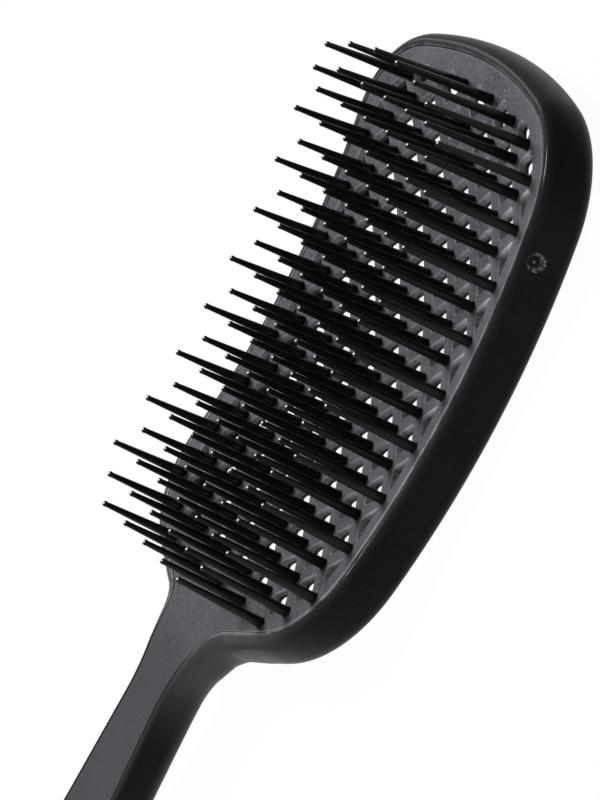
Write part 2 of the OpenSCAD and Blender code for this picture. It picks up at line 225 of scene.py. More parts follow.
class Form:
    """Outlines and heights worked out from the sizes, with the middle of the dish at zero."""

    def __init__(self, sizes):
        self.s = s = sizes
        self.row_step = s.pin_pitch / 2
        self.stack_t = s.plate_t + s.plate_gap + s.rear_t
        self.ledge_depth = self.stack_t + s.seam_gap
        self.shoulder_y = -(s.low_corner_y + s.shoulder_drop)
        self.shoulder_x = s.neck_half_w + s.shoulder_w
        self.handle_l = s.handle_end - s.neck_y
        self.bend_y = self.shoulder_y + s.shoulder_drop * BEND_SHARE
        bend_w = mix(self.shoulder_x, s.head_half_w, BEND_SHARE)
        bend_angle = math.asin(-self.bend_y / s.dish_r)
        self.front_z = self.dish_z(bend_w, self.bend_y) + s.neck_bend_r * (1 - math.cos(bend_angle))
        self.flat_y = self.bend_y - s.neck_bend_r * math.sin(bend_angle)
        self.tail_y = -(s.neck_y + self.handle_l * TAIL_SHARE)
        tail_l = s.handle_end + self.tail_y
        self.tail_r = (tail_l ** 2 + s.tail_drop ** 2) / (2 * s.tail_drop)
        self.rest_z = self.dish_z(s.head_half_w + s.back_edge_w, 0, s.head_depth)
        self.neck_start = s.low_corner_y + s.shoulder_drop * NECK_START_SHARE
        self.origin = Vector((0, (s.handle_end + s.handle_bulge_w - s.head_top - s.bulge_w) / 2,
                              -self.rest_z))
        self.make_seam()

    def dish_z(self, x, y, depth=0.0):
        return self.s.dish_r - math.sqrt((self.s.dish_r + depth) ** 2 - x * x - y * y)

    def handle_z(self, y):
        r = self.s.neck_bend_r
        if y > self.flat_y:
            return self.front_z - r + math.sqrt(max(0.0, r * r - (y - self.flat_y) ** 2))
        if y > self.tail_y:
            return self.front_z
        return self.front_z - self.tail_r + math.sqrt(self.tail_r ** 2 - (y - self.tail_y) ** 2)

    def face_z(self, p, depth=0.0):
        """Height of the whole front at a depth below its surface."""
        if p.y > self.bend_y:
            return self.dish_z(p.x, p.y, depth)
        if p.y > self.flat_y:
            return min(self.dish_z(p.x, p.y, depth), self.handle_z(p.y) - depth)
        return self.handle_z(p.y) - depth

    def along(self, y):
        return (-y - self.s.neck_y) / self.handle_l

    def neck_mix(self, y):
        return smooth((-y - self.neck_start) / (self.s.neck_y - self.neck_start))

    def grip_mix(self, y):
        return smooth((self.along(y) - SWELL_SHARES[0]) / (SWELL_SHARES[1] - SWELL_SHARES[0]))

    def back_z(self, y):
        """Height of the handle's back."""
        level = mix(self.front_z - self.s.neck_depth, self.rest_z, self.grip_mix(y))
        rise = self.s.tail_drop * END_RISE_SHARE
        return level + rise * smooth((self.along(y) - RISE_SHARE) / (1 - RISE_SHARE))

    def depth_at(self, p):
        return mix(self.s.head_depth, self.face_z(p) - self.back_z(p.y), self.neck_mix(p.y))

    def make_seam(self):
        """Right half of the seam, from the middle of the top edge to the middle of the end."""
        s = self.s
        top_c = Vector((0, s.head_top - s.top_r))
        across = s.head_half_w - s.top_corner_r
        rise = math.sqrt((s.top_r - s.top_corner_r) ** 2 - across ** 2)
        corner_c = Vector((across, top_c.y + rise))
        turn = math.atan2(rise, across)
        side_top, side_middle = Vector((s.head_half_w, corner_c.y)), Vector((s.head_half_w, 0))
        low = Vector((s.head_half_w, -s.low_corner_y))
        shoulder = Vector((self.shoulder_x, self.shoulder_y))
        neck, grip = Vector((s.neck_half_w, -s.neck_y)), Vector((s.grip_half_w, -s.grip_y))
        end = Vector((s.grip_half_w * END_TAPER_SHARE, -s.handle_end))
        low_arc = corner(side_middle, low, shoulder, s.low_corner_r, ARC_STEPS)
        neck_arc = corner(low, shoulder, neck, s.neck_fillet_r, ARC_STEPS)
        neck_bow = corner(shoulder, neck, grip, s.neck_y / 2, ARC_STEPS)
        grip_bow = corner(neck, grip, end, s.grip_y, ARC_STEPS)
        end_arc = corner(grip, end, Vector((0, -s.handle_end)), s.end_corner_r, ARC_STEPS)
        self.head = (arc(top_c, s.top_r, math.pi / 2, turn, SIDE_STEPS)[:-1]
                     + arc(corner_c, s.top_corner_r, turn, 0, ARC_STEPS)
                     + between(side_top, side_middle, SIDE_STEPS) + [side_middle]
                     + between(side_middle, low_arc[0], SIDE_STEPS) + low_arc)
        self.ring = self.head + between(low_arc[-1], neck_arc[0], SHOULDER_STEPS) + neck_arc
        self.seam = (self.ring + neck_bow + between(neck_bow[-1], grip_bow[0], SIDE_STEPS)
                     + grip_bow + between(grip_bow[-1], end_arc[0], TAIL_STEPS) + end_arc)

    def closed(self, half):
        """A whole outline from its right half: each point with its outward normal."""
        right = list(zip(half, normals(half)))
        left = [(Vector((-p.x, p.y)), Vector((-n.x, n.y)))
                for p, n in reversed(right) if p.x > TOUCHING]
        return right + left

    def pin_places(self, row):
        """(foot, lean) of each pin of a row, on the plate's front."""
        s = self.s
        count = 5 if row == LAST_ROW else 6 if row % 2 == 0 else 7
        places = []
        for k in range(count):
            x = (k - (count - 1) / 2) * s.pin_pitch
            y = (MIDDLE_ROW - row) * self.row_step
            outer = row < 2 and k in (0, count - 1)
            if outer:
                x -= math.copysign(s.corner_pull, x)
            if row == 0:
                half = (count - 1) / 2 * s.pin_pitch - s.corner_pull
                y += s.top_row_rise - s.top_row_drop * (x / half) ** 2
            elif row == LAST_ROW:
                y += s.last_row_shift
            elif outer:
                y -= s.corner_pull
            foot = Vector((x, y, self.dish_z(x, y)))
            places.append((foot, Vector((-x / s.lean_x_r, -y / s.lean_y_r, 1)).normalized()))
        return places

    def vents(self):
        """Corner-rounded outlines of the vents, cut by the plain border."""
        s = self.s
        field = [p - n * s.border_w for p, n in zip(self.head, normals(self.ring))]
        field += [Vector((-p.x, p.y)) for p in reversed(field) if p.x > TOUCHING]
        reach = s.vent_side / math.sqrt(2)
        outlines = []
        for row in range(LAST_ROW):
            count = 5 if row in (0, LAST_ROW - 1) else 7 if row % 2 == 0 else 6
            for k in range(count):
                across = (k - (count - 1) / 2) * s.pin_pitch
                c = Vector((across, (MIDDLE_ROW - row) * self.row_step))
                square = [c + reach * Vector(d) for d in ((1, 0), (0, -1), (-1, 0), (0, 1))]
                outline = clipped(square, field)
                if len(outline) > 2:
                    outlines.append(rounded(outline, s.vent_r, VENT_STEPS))
        return outlines


def clipped(shape, field):
    """The part of a convex shape inside a convex field; both run clockwise."""
    for a, b in zip(field, field[1:] + field[:1]):
        edge, kept = b - a, []
        side = [edge.x * (p.y - a.y) - edge.y * (p.x - a.x) for p in shape]
        for k, p in enumerate(shape):
            q, here, there = shape[k - 1], side[k], side[k - 1]
            if (here > 0) != (there > 0):
                kept.append(q.lerp(p, there / (there - here)))
            if here <= 0:
                kept.append(p)
        shape = kept
        if not shape:
            return []
    return tidy_corners(shape)


def tidy_corners(shape):
    """A shape without points that lie close together or on a nearly straight line."""
    apart = [p for k, p in enumerate(shape) if (p - shape[k - 1]).length > NEAR]
    kept = []
    for k, p in enumerate(apart):
        before, after = p - apart[k - 1], apart[(k + 1) % len(apart)] - p
        if before.length > 0 and after.length > 0 and before.angle(after) > STRAIGHT:
            kept.append(p)
    return kept


def rounded(shape, radius, steps):
    """A closed shape with each corner rounded, less where its edges are short."""
    points = []
    count = len(shape)
    for k, q in enumerate(shape):
        p, s = shape[k - 1], shape[(k + 1) % count]
        a, b = p - q, s - q
        half = a.angle(b) / 2
        room = min(a.length, b.length) * CORNER_ROOM_SHARE * math.tan(half)
        points += corner(p, q, s, min(radius, room), steps)
    return points


def void_directions(points):
    """The way from the material into a hole, at each point of the hole's clockwise outline."""
    count = len(points)
    ways = []
    for k in range(count):
        a = (points[k] - points[k - 1]).normalized()
        b = (points[(k + 1) % count] - points[k]).normalized()
        m = Vector((a.y + b.y, -a.x - b.x)).normalized()
        ways.append(m / max(1 / MITRE_LIMIT, m.dot(Vector((a.y, -a.x)))))
    return ways


# Meshes

# The cut of a flat sheet leaves out what lies outside its rings; large faces shade the most
INSIDE_RINGS = 1
FACE_WEIGHT = 100


def add_mesh(name, points, faces, node, material, origin, marks=None):
    """A smooth-shaded piece that stands for a node of the frame. Marks are values per point."""
    mesh = bpy.data.meshes.new(name)
    mesh.from_pydata([tuple(Vector(p) + origin) for p in points], [], faces)
    for mark, values in (marks or {}).items():
        mesh.attributes.new(mark, "FLOAT", "POINT").data.foreach_set("value", values)
    work = bmesh.new()
    work.from_mesh(mesh)
    loose = [v for v in work.verts if not v.link_faces]
    bmesh.ops.delete(work, geom=loose, context="VERTS")
    bmesh.ops.recalc_face_normals(work, faces=work.faces)
    for face in work.faces:
        face.smooth = True
    work.to_mesh(mesh)
    work.free()
    mesh.materials.append(material)
    piece = bpy.data.objects.new(name, mesh)
    bpy.context.scene.collection.objects.link(piece)
    weighted = piece.modifiers.new("Weighted normals", "WEIGHTED_NORMAL")
    weighted.weight = FACE_WEIGHT
    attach(piece, BODY)
    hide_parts(node)
    return piece


def round_profile(top_r, bottom_r, steps):
    """Rows down an edge: (shift into the void, depth, whether it counts from the back)."""
    rows = []
    for k in range(steps + 1):
        a = math.pi / 2 * k / steps
        rows.append((top_r * (math.sin(a) - 1), top_r * (1 - math.cos(a)), False))
    for k in range(steps + 1):
        a = math.pi / 2 * k / steps
        rows.append((bottom_r * (math.cos(a) - 1), bottom_r * (1 - math.sin(a)), True))
    return rows


def sheet_with_holes(form, loops, inner, top, bottom):
    """Points, faces and marks of a curved sheet between two depths.

    loops holds (points, ways into the void, rows, lean); the first is the outside. inner holds
    points in the middle of the material that keep the curved faces even. The marks that come
    with them are "edge", strongest on the rounding of an edge, and "wall", all of it below that.
    """
    points, faces, flat, rings, top_of, low_of = [], [], [], [], [], []
    marks = {"edge": [], "wall": []}
    for outline, ways, rows, lean in loops:
        start = len(flat)
        rings.append(list(range(start + len(outline) - 1, start - 1, -1)))
        grid = []
        half = (len(rows) - 1) // 2
        for place, (shift, down, from_back) in enumerate(rows):
            line = []
            marks["edge"] += [math.sin(math.pi * min(1.0, place / half))] * len(outline)
            marks["wall"] += [min(1.0, place / half)] * len(outline)
            for p, way in zip(outline, ways):
                q = p + way * shift
                depth = bottom(q) - down if from_back else top(q) + down
                q = q + lean * (depth - top(q))
                line.append(len(points))
                points.append((q.x, q.y, form.face_z(q, depth)))
            grid.append(line)
        for p, way in zip(outline, ways):
            flat.append(p + way * rows[0][0])
        top_of += grid[0]
        low_of += grid[-1]
        count = len(outline)
        for above, below in zip(grid, grid[1:]):
            for k in range(count):
                j = (k + 1) % count
                faces.append((above[k], above[j], below[j], below[k]))
    for p in inner:
        flat.append(p)
        top_of.append(len(points))
        points.append((p.x, p.y, form.face_z(p, top(p))))
        low_of.append(len(points))
        points.append((p.x, p.y, form.face_z(p, bottom(p))))
        for values in marks.values():
            values += [0.0, 0.0]
    cut = delaunay_2d_cdt(flat, [], rings, INSIDE_RINGS, TOUCHING)
    came_from = [olds[0] if olds else None for olds in cut[3]]
    for tri, within in zip(cut[2], cut[5]):
        if list(within) != [0]:
            continue
        corners = [came_from[v] for v in tri]
        if None in corners:
            raise RuntimeError("two outlines of the sheet cross each other")
        faces.append([top_of[v] for v in corners])
        faces.append([low_of[v] for v in reversed(corners)])
    return points, faces, marks


def inside(p, outline):
    """Whether p lies within a closed outline."""
    hit = False
    for a, b in zip(outline, outline[1:] + outline[:1]):
        if (a.y > p.y) != (b.y > p.y) and p.x < a.x + (p.y - a.y) / (b.y - a.y) * (b.x - a.x):
            hit = not hit
    return hit


def inner_points(outline, low, high, step, margin):
    """An even grid of points inside an outline, between two heights of Y."""
    xs = [p.x for p in outline]
    found = []
    for row in range(int((high - low) / step) + 1):
        y = low + row * step
        for column in range(int((max(xs) - min(xs)) / step) + 1):
            p = Vector((min(xs) + (column + 0.5 * (row % 2)) * step, y))
            near = min((p - q).length for q in outline)
            if near > margin and inside(p, outline):
                found.append(p)
    return found


def revolve(profile, foot, lean, steps):
    """Points and faces of a turned shape that stands on foot along lean."""
    turn = Vector((0, 0, 1)).rotation_difference(lean).to_matrix()
    points, faces = [], []
    for r, z in profile:
        for k in range(steps):
            a = 2 * math.pi * k / steps
            points.append(foot + turn @ Vector((r * math.cos(a), r * math.sin(a), z)))
    rows = len(profile)
    for i in range(rows - 1):
        for k in range(steps):
            j = (k + 1) % steps
            faces.append((i * steps + k, i * steps + j, (i + 1) * steps + j, (i + 1) * steps + k))
    faces.append(list(range(steps - 1, -1, -1)))
    faces.append([(rows - 1) * steps + k for k in range(steps)])
    return points, faces


# Materials

# Widths of the patterns, the parts of the gate mark as shares of its radius, and shared colours
PATTERN_ROUGHNESS = 0.65
GRAIN_DETAIL = 4.0
PATCH_DETAIL = 3.0
CLOUD_MM = 14
# The next three widths: patches that break up the painted light on the vent walls, the painted
# highlight lines, and the painted light on the gate mark
WALL_LIGHT_MM = 0.8
HIGHLIGHT_BREAK_MM = 2.5
GLINT_BREAK_MM = 0.7
FLOW_MM = 2.5
GATE_PIT = 0.5 * MM
# Where the painted light on the gate's pit is cut to a crescent on its lit side, and where the
# glint on its nub is painted
GATE_MIDDLE_SHARES = Vector((0, 0.08, 0.36))
GATE_MIDDLE_SHARE = 0.76
GATE_NUB_GLINT_SHARES = Vector((0, 0.04, 0.31))
GATE_NUB_GLINT_SHARE = 0.14
# A painted dark line for the shade in the seam beside the handle, and the pale grey of the painted
# highlight lines and sheen on the shell
SEAM_SHADE_BLACK = "#060607"
PAINTED_SHEEN_GREY = "#86878B"
# Way and size of the highlight painted on each pin's tip
TIP_HIGHLIGHT = Vector((0.26, 0.25, 0.93)).normalized()
TIP_HIGHLIGHT_INNER = math.radians(14)
TIP_HIGHLIGHT_OUTER = math.radians(24)


def linear(hex_colour):
    """An sRGB hex colour as linear RGBA."""
    parts = [int(hex_colour[k:k + 2], 16) / 255 for k in (1, 3, 5)]
    parts = [c / 12.92 if c <= 0.04045 else ((c + 0.055) / 1.055) ** 2.4 for c in parts]
    return (*parts, 1.0)


def add_node(tree, kind, settings=None, inputs=None):
    """A node with its settings. An input is a value, an output, or a node for its first output."""
    node = tree.nodes.new(kind)
    for key, value in (settings or {}).items():
        setattr(node, key, value)
    for key, value in (inputs or {}).items():
        if isinstance(value, bpy.types.Node):
            value = value.outputs[0]
        if isinstance(value, bpy.types.NodeSocket):
            tree.links.new(value, node.inputs[key])
        else:
            node.inputs[key].default_value = value
    return node


def new_material(name):
    """A material with no nodes yet."""
    material = bpy.data.materials.new(name)
    material.use_nodes = True
    material.node_tree.nodes.clear()
    return material


def per_mm(size_mm):
    """Scale of a pattern whose grains are this wide, on coordinates in metres."""
    return 1 / (size_mm * MM)


def patches(tree, place, width_mm, low, high, least=0.0, most=1.0):
    """Cloudy patches this wide, from least where the cloud is under low to most over high."""
    cloud = add_node(tree, "ShaderNodeTexNoise", {},
                     {"Vector": place, "Scale": per_mm(width_mm), "Detail": PATCH_DETAIL,
                      "Roughness": PATTERN_ROUGHNESS})
    return add_node(tree, "ShaderNodeMapRange", {},
                    {"Value": cloud, "From Min": low, "From Max": high,
                     "To Min": least, "To Max": most})


def ball(tree, place, centre, radius, soft_share, middle=1.0, beyond=0.0):
    """One value in the middle of a ball and another beyond it, with a soft edge between."""
    away = add_node(tree, "ShaderNodeVectorMath", {"operation": "DISTANCE"},
                    {0: place, 1: tuple(centre)}).outputs["Value"]
    return add_node(tree, "ShaderNodeMapRange", {},
                    {"Value": away, "From Min": radius * (1 - soft_share),
                     "From Max": radius * (1 + soft_share), "To Min": middle, "To Max": beyond})


def point_shares(tree, *names):
    """The shares that the mesh carries at its points, by name."""
    return {name: add_node(tree, "ShaderNodeAttribute", {"attribute_name": name}).outputs["Fac"]
            for name in names}


def lay_over(tree, shade, *layers):
    """A colour with others laid over it in turn, each as strong as its shares multiplied."""
    for colour, *shares in layers:
        share = shares[0]
        for other in shares[1:]:
            share = add_node(tree, "ShaderNodeMath", {"operation": "MULTIPLY"},
                             {0: share, 1: other})
        shade = add_node(tree, "ShaderNodeMix", {"data_type": "RGBA"},
                         {"Factor": share, 6: shade, 7: linear(colour)}).outputs[2]
    return shade


def moulded_abs(name, roughness, specular, grain_mm, grain_depth_mm):
    """ABS with the grain of its tool, and two patterns of uneven tone: clouds and specks."""
    material = new_material(name)
    tree = material.node_tree
    place = add_node(tree, "ShaderNodeTexCoord").outputs["Object"]
    grain = add_node(tree, "ShaderNodeTexNoise", {},
                     {"Vector": place, "Scale": per_mm(grain_mm), "Detail": GRAIN_DETAIL,
                      "Roughness": PATTERN_ROUGHNESS})
    gloss = add_node(tree, "ShaderNodeMapRange", {},
                     {"Value": grain, "From Min": 0.3, "From Max": 0.7,
                      "To Min": roughness - 0.05, "To Max": roughness + 0.07})
    bump = add_node(tree, "ShaderNodeBump", {},
                    {"Height": grain, "Strength": 0.7, "Distance": grain_depth_mm * MM})
    plastic = add_node(tree, "ShaderNodeBsdfPrincipled", {},
                       {"IOR": 1.5, "Specular IOR Level": specular, "Roughness": gloss,
                        "Coat Roughness": 0.1, "Normal": bump})
    add_node(tree, "ShaderNodeOutputMaterial", {}, {"Surface": plastic})
    specks = add_node(tree, "ShaderNodeMapRange", {},
                      {"Value": grain, "From Min": 0.42, "From Max": 0.72})
    return SimpleNamespace(material=material, tree=tree, place=place, plastic=plastic, bump=bump,
                           clouds=patches(tree, place, CLOUD_MM, low=0.3, high=0.7, most=0.5),
                           specks=specks)


def eroded_plate(colour):
    """Finish of the front plate."""
    # ABS from a spark-eroded tool: an even grain that scatters the light. The real one, about
    # 0.1 mm, is too fine to show and is drawn at 0.45 mm. Its clouds and specks of uneven tone are
    # laid on stronger over the head, which paints the head paler than the handle as if more
    # brightly lit. The lower walls of the vents are painted pale in patches for the light they
    # catch. The rounded edges of the vents and of the seam round the head carry a painted highlight
    # line, and the seam's rounded edges beside the handle carry a painted dark line for the shade
    # in the seam.
    moulding = moulded_abs("Charcoal ABS, spark-eroded", roughness=0.45, specular=0.05,
                           grain_mm=0.45, grain_depth_mm=0.05)
    marks = point_shares(moulding.tree, "painted_head_light", "wall", "edge", "seam_shade")
    low_wall = add_node(moulding.tree, "ShaderNodeMapRange", {},
                        {"Value": marks["wall"], "From Min": 0.4, "From Max": 1.0})
    wall_light = patches(moulding.tree, moulding.place, WALL_LIGHT_MM, low=0.36, high=0.62, least=0.35)
    highlight_breaks = patches(moulding.tree, moulding.place, HIGHLIGHT_BREAK_MM, low=0.34, high=0.58, least=0.35)
    # Clouds and specks, stronger over the head so that it is painted paler; painted light on the
    # vent walls; painted highlight lines on the rounded edges; painted shade in the seam beside the
    # handle
    shade = lay_over(moulding.tree, linear(colour),
                     ("#64666B", moulding.clouds, marks["painted_head_light"]),
                     ("#64666B", moulding.specks, marks["painted_head_light"]),
                     ("#A6A8AC", low_wall, wall_light),
                     ("#C4C6CA", marks["edge"], highlight_breaks),
                     (SEAM_SHADE_BLACK, marks["seam_shade"]))
    moulding.tree.links.new(shade, moulding.plastic.inputs["Base Color"])
    return moulding.material


def plain_grille(colour):
    """Finish of the rear grille."""
    # ABS from a plain milled tool: a duller face with hardly any grain. The tool's lines are too
    # fine to show and are drawn as a shallow grain of 0.3 mm.
    moulding = moulded_abs("Charcoal ABS, plain", roughness=0.5, specular=0.12,
                           grain_mm=0.3, grain_depth_mm=0.012)
    shade = lay_over(moulding.tree, linear(colour), ("#484B4F", moulding.clouds),
                     ("#484B4F", moulding.specks))
    moulding.tree.links.new(shade, moulding.plastic.inputs["Base Color"])
    return moulding.material


def gate_mark(tree, place, centre, radius):
    """The round pit that the mould's gate leaves: (how deep, where its lit side and a glint on its
    nub are painted pale).
    """
    pit = ball(tree, place, centre, radius, soft_share=0.12)
    # The lit side of the pit, a crescent broken into patches, is painted pale
    around = ball(tree, place, centre + GATE_MIDDLE_SHARES * radius, GATE_MIDDLE_SHARE * radius,
                  soft_share=0.25, middle=0.0, beyond=1.0)
    glint_breaks = patches(tree, place, GLINT_BREAK_MM, low=0.4, high=0.6, least=0.1)
    rim = pit
    for share in (around, glint_breaks):
        rim = add_node(tree, "ShaderNodeMath", {"operation": "MULTIPLY"}, {0: rim, 1: share})
    # A glint painted pale on the nub in the middle of the pit
    nub_glint = ball(tree, place, centre + GATE_NUB_GLINT_SHARES * radius, GATE_NUB_GLINT_SHARE * radius,
               soft_share=0.5)
    return pit, add_node(tree, "ShaderNodeMath", {"operation": "MAXIMUM"}, {0: rim, 1: nub_glint})


def satin_shell(colour, gate_centre, gate_r):
    """Finish of the shell."""
    # ABS from a smooth tool: a satin black that turns paler where it is seen at a low angle. The
    # tool's polishing marks are too fine to show and are drawn as a shallow grain of 0.5 mm. Hands
    # have polished the rim and the handle, and the gate has left a round pit. Painted light: a
    # highlight line beside the seam of the head, a sheen on the neck, the lip and the foot of the
    # wall, the lit side of the gate's pit and a glint on its nub are painted pale, and a dark line
    # of shade is painted in the seam beside the handle.
    moulding = moulded_abs("Black ABS, smooth tool", roughness=0.38, specular=0.02,
                           grain_mm=0.5, grain_depth_mm=0.003)
    tree, plastic = moulding.tree, moulding.plastic
    marks = point_shares(tree, "edge", "painted_sheen", "seam_shade", "polish")
    highlight_breaks = patches(tree, moulding.place, HIGHLIGHT_BREAK_MM, low=0.34, high=0.58, least=0.35)
    pit, painted_gate_light = gate_mark(tree, moulding.place, gate_centre, gate_r)
    # Clouds and specks of tone; painted highlight lines beside the seam; painted sheen; painted
    # shade in the seam beside the handle; painted light on the gate's pit and nub
    shade = lay_over(tree, linear(colour),
                     ("#161619", moulding.clouds),
                     ("#161619", moulding.specks),
                     (PAINTED_SHEEN_GREY, marks["edge"], highlight_breaks),
                     (PAINTED_SHEEN_GREY, marks["painted_sheen"]),
                     (SEAM_SHADE_BLACK, marks["seam_shade"]),
                     ("#66676A", painted_gate_light))
    tree.links.new(shade, plastic.inputs["Base Color"])
    pitted = add_node(tree, "ShaderNodeBump", {"invert": True},
                      {"Height": pit, "Strength": 1.0, "Distance": GATE_PIT,
                       "Normal": moulding.bump})
    tree.links.new(pitted.outputs[0], plastic.inputs["Normal"])
    facing = add_node(tree, "ShaderNodeLayerWeight", {}, {"Blend": 0.5}).outputs["Facing"]
    low_angle = add_node(tree, "ShaderNodeMapRange", {},
                         {"Value": facing, "From Min": 0.3, "From Max": 0.65, "To Max": 0.11})
    sheen = add_node(tree, "ShaderNodeMath", {"operation": "ADD"},
                     {0: marks["polish"], 1: low_angle})
    tree.links.new(sheen.outputs[0], plastic.inputs["Coat Weight"])
    return moulding.material


def polished_nylon(colour):
    """Finish of the pins."""
    # Nylon from a polished tool: a satin black, a little uneven where the melt has flowed, with a
    # small highlight painted pale on each round tip, on the side turned up and towards +X and +Y.
    material = new_material("Black nylon, polished tool")
    tree = material.node_tree
    place = add_node(tree, "ShaderNodeTexCoord").outputs["Object"]
    flow = add_node(tree, "ShaderNodeTexNoise", {},
                    {"Vector": place, "Scale": per_mm(FLOW_MM), "Detail": PATCH_DETAIL,
                     "Roughness": PATTERN_ROUGHNESS})
    normal = add_node(tree, "ShaderNodeNewGeometry").outputs["Normal"]
    turned = add_node(tree, "ShaderNodeVectorMath", {"operation": "DOT_PRODUCT"},
                      {0: normal, 1: tuple(TIP_HIGHLIGHT)}).outputs["Value"]
    tip_highlight = add_node(tree, "ShaderNodeMapRange", {},
                    {"Value": turned, "From Min": math.cos(TIP_HIGHLIGHT_OUTER),
                     "From Max": math.cos(TIP_HIGHLIGHT_INNER)})
    gloss = add_node(tree, "ShaderNodeMapRange", {},
                     {"Value": flow, "From Min": 0.3, "From Max": 0.7,
                      "To Min": 0.22, "To Max": 0.3})
    # A highlight painted pale where the tip faces up and towards +X and +Y
    shade = lay_over(tree, linear(colour), ("#141415", flow),
                     ("#F2F2F4", tip_highlight, point_shares(tree, "tip")["tip"]))
    nylon = add_node(tree, "ShaderNodeBsdfPrincipled", {},
                     {"Base Color": shade, "IOR": 1.5, "Specular IOR Level": 0.12,
                      "Roughness": gloss})
    add_node(tree, "ShaderNodeOutputMaterial", {}, {"Surface": nylon})
    return material


# Operators

BEND_MESH = {"step": 2 * MM, "margin": 1 * MM}
BEND_MESH_BELOW = 4 * MM
BEND_MESH_ABOVE = 5 * MM
HANDLE_MESH = {"step": 5 * MM, "margin": 2 * MM}
HANDLE_MESH_BELOW = 6 * MM

# Painted light on the plate: the head painted paler than the handle (least and most), and how
# strong the painted highlight lines and the painted seam shade are
PAINTED_HEAD_LIGHT_SHARES = (0.18, 1.3)
SEAM_HIGHLIGHT_SHARE = 0.75
VENT_HIGHLIGHT_SHARE = 0.4
SEAM_SHADE_GAIN = 3

# Painted light and shade on the shell, and its coat's polish: by rows of its section, by rows down
# its wall, and by places along it
HIGHLIGHT_ROW_SHARES = {3: 0.7, 4: 1.0, 5: 1.0, 6: 0.3}
SEAM_SHADE_ROW_SHARES = {0: 1.0, 1: 1.0, 2: 1.0, 3: 1.0, 4: 0.9, 5: 0.4}
LIP_ROWS = 4
HAND_ROWS = 6
FOOT_START_ROW = 13
FOOT_ROWS = 8
RIM_ROW = 1.5
RIM_ROWS = 3.5
HAND_POLISH_SHARE = 0.75
RIM_POLISH_SHARE = 0.28
NECK_SHEEN_SHARE = 0.1
LIP_SHEEN_SHARE = 0.06
FOOT_SHEEN_SHARE = 0.06
NECK_SHEEN_ABOVE = 9 * MM
NECK_SHEEN_REACH = 20 * MM
FOOT_SHEEN_FADE = 10 * MM
SHINE_SHARES = (1.15, 0.4)
SHINE_FADE_START = -20 * MM
SHINE_FADE_L = 50 * MM


def shine_along(y):
    """How strong the painted highlight lines and the rim's polish are: less toward the top of the
    head.
    """
    return mix(*SHINE_SHARES, smooth((y - SHINE_FADE_START) / SHINE_FADE_L))


class BRUSH_OT_front_plate(bpy.types.Operator):
    """Builds the vented front plate with the face of the handle"""

    bl_idname = "brush.front_plate"
    bl_label = "Front plate"

    def loops(self, form):
        """Outlines of the plate: the seam, the vents, and the bores that the pins pass through."""
        s = form.s
        none = Vector((0, 0))
        seam = form.closed(form.seam)
        found = [([p for p, n in seam], [n for p, n in seam],
                  round_profile(PLATE_ROUND, SEAM_ROUND / 2, SEAM_STEPS), none)]
        edge = round_profile(s.vent_edge_r, s.vent_edge_r / 4, SEAM_STEPS)
        found += [(vent, void_directions(vent), edge, none) for vent in form.vents()]
        bore = round_profile(s.pin_gap, s.pin_gap, 1)
        for row in range(LAST_ROW + 1):
            for foot, lean in form.pin_places(row):
                bore_r = s.pin_root_d / 2 + s.pin_gap
                outline = arc(foot.xy, bore_r, 2 * math.pi, 0, BORE_STEPS)[:-1]
                ways = [(foot.xy - p).normalized() for p in outline]
                found.append((outline, ways, bore, -lean.xy))
        return found

    def light_marks(self, form, points, marks, seam_points):
        """Paints the head paler than the handle and a dark line of shade in the seam beside the
        handle, and sets the highlight lines painted on the rounded edges.
        """
        neck_y = form.s.neck_y
        on_head = [smooth((point[1] + neck_y) / (neck_y / 3)) for point in points]
        marks["painted_head_light"] = [mix(*PAINTED_HEAD_LIGHT_SHARES, share) for share in on_head]
        marks["seam_shade"] = [0.0] * len(points)
        for k, share in enumerate(on_head):
            if k < seam_points:
                marks["seam_shade"][k] = min(1.0, SEAM_SHADE_GAIN * marks["edge"][k]) * (1 - share)
                marks["edge"][k] *= SEAM_HIGHLIGHT_SHARE * share * shine_along(points[k][1])
            else:
                marks["edge"][k] *= VENT_HIGHLIGHT_SHARE

    def execute(self, context):
        form = Form(context.scene.brush_sizes)
        s = form.s
        loops = self.loops(form)
        outline, seam_rows = loops[0][0], loops[0][2]
        inner = inner_points(outline, form.flat_y - BEND_MESH_BELOW,
                             form.bend_y + BEND_MESH_ABOVE, **BEND_MESH)
        inner += inner_points(outline, -s.handle_end, form.flat_y - HANDLE_MESH_BELOW,
                              **HANDLE_MESH)
        points, faces, marks = sheet_with_holes(
            form, loops, inner, lambda p: 0.0,
            lambda p: s.plate_t if p.y > form.bend_y else form.stack_t)
        self.light_marks(form, points, marks, len(outline) * len(seam_rows))
        add_mesh("front_plate_skin", points, faces, "front_plate",
                 eroded_plate(context.scene.brush_colours.plate), form.origin, marks)
        return {"FINISHED"}


class BRUSH_OT_rear_grille(bpy.types.Operator):
    """Finishes the rear grille"""

    bl_idname = "brush.rear_grille"
    bl_label = "Rear grille"

    def execute(self, context):
        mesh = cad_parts["rear_grille"].data
        mesh.materials.clear()
        mesh.materials.append(plain_grille(context.scene.brush_colours.grille))
        return {"FINISHED"}


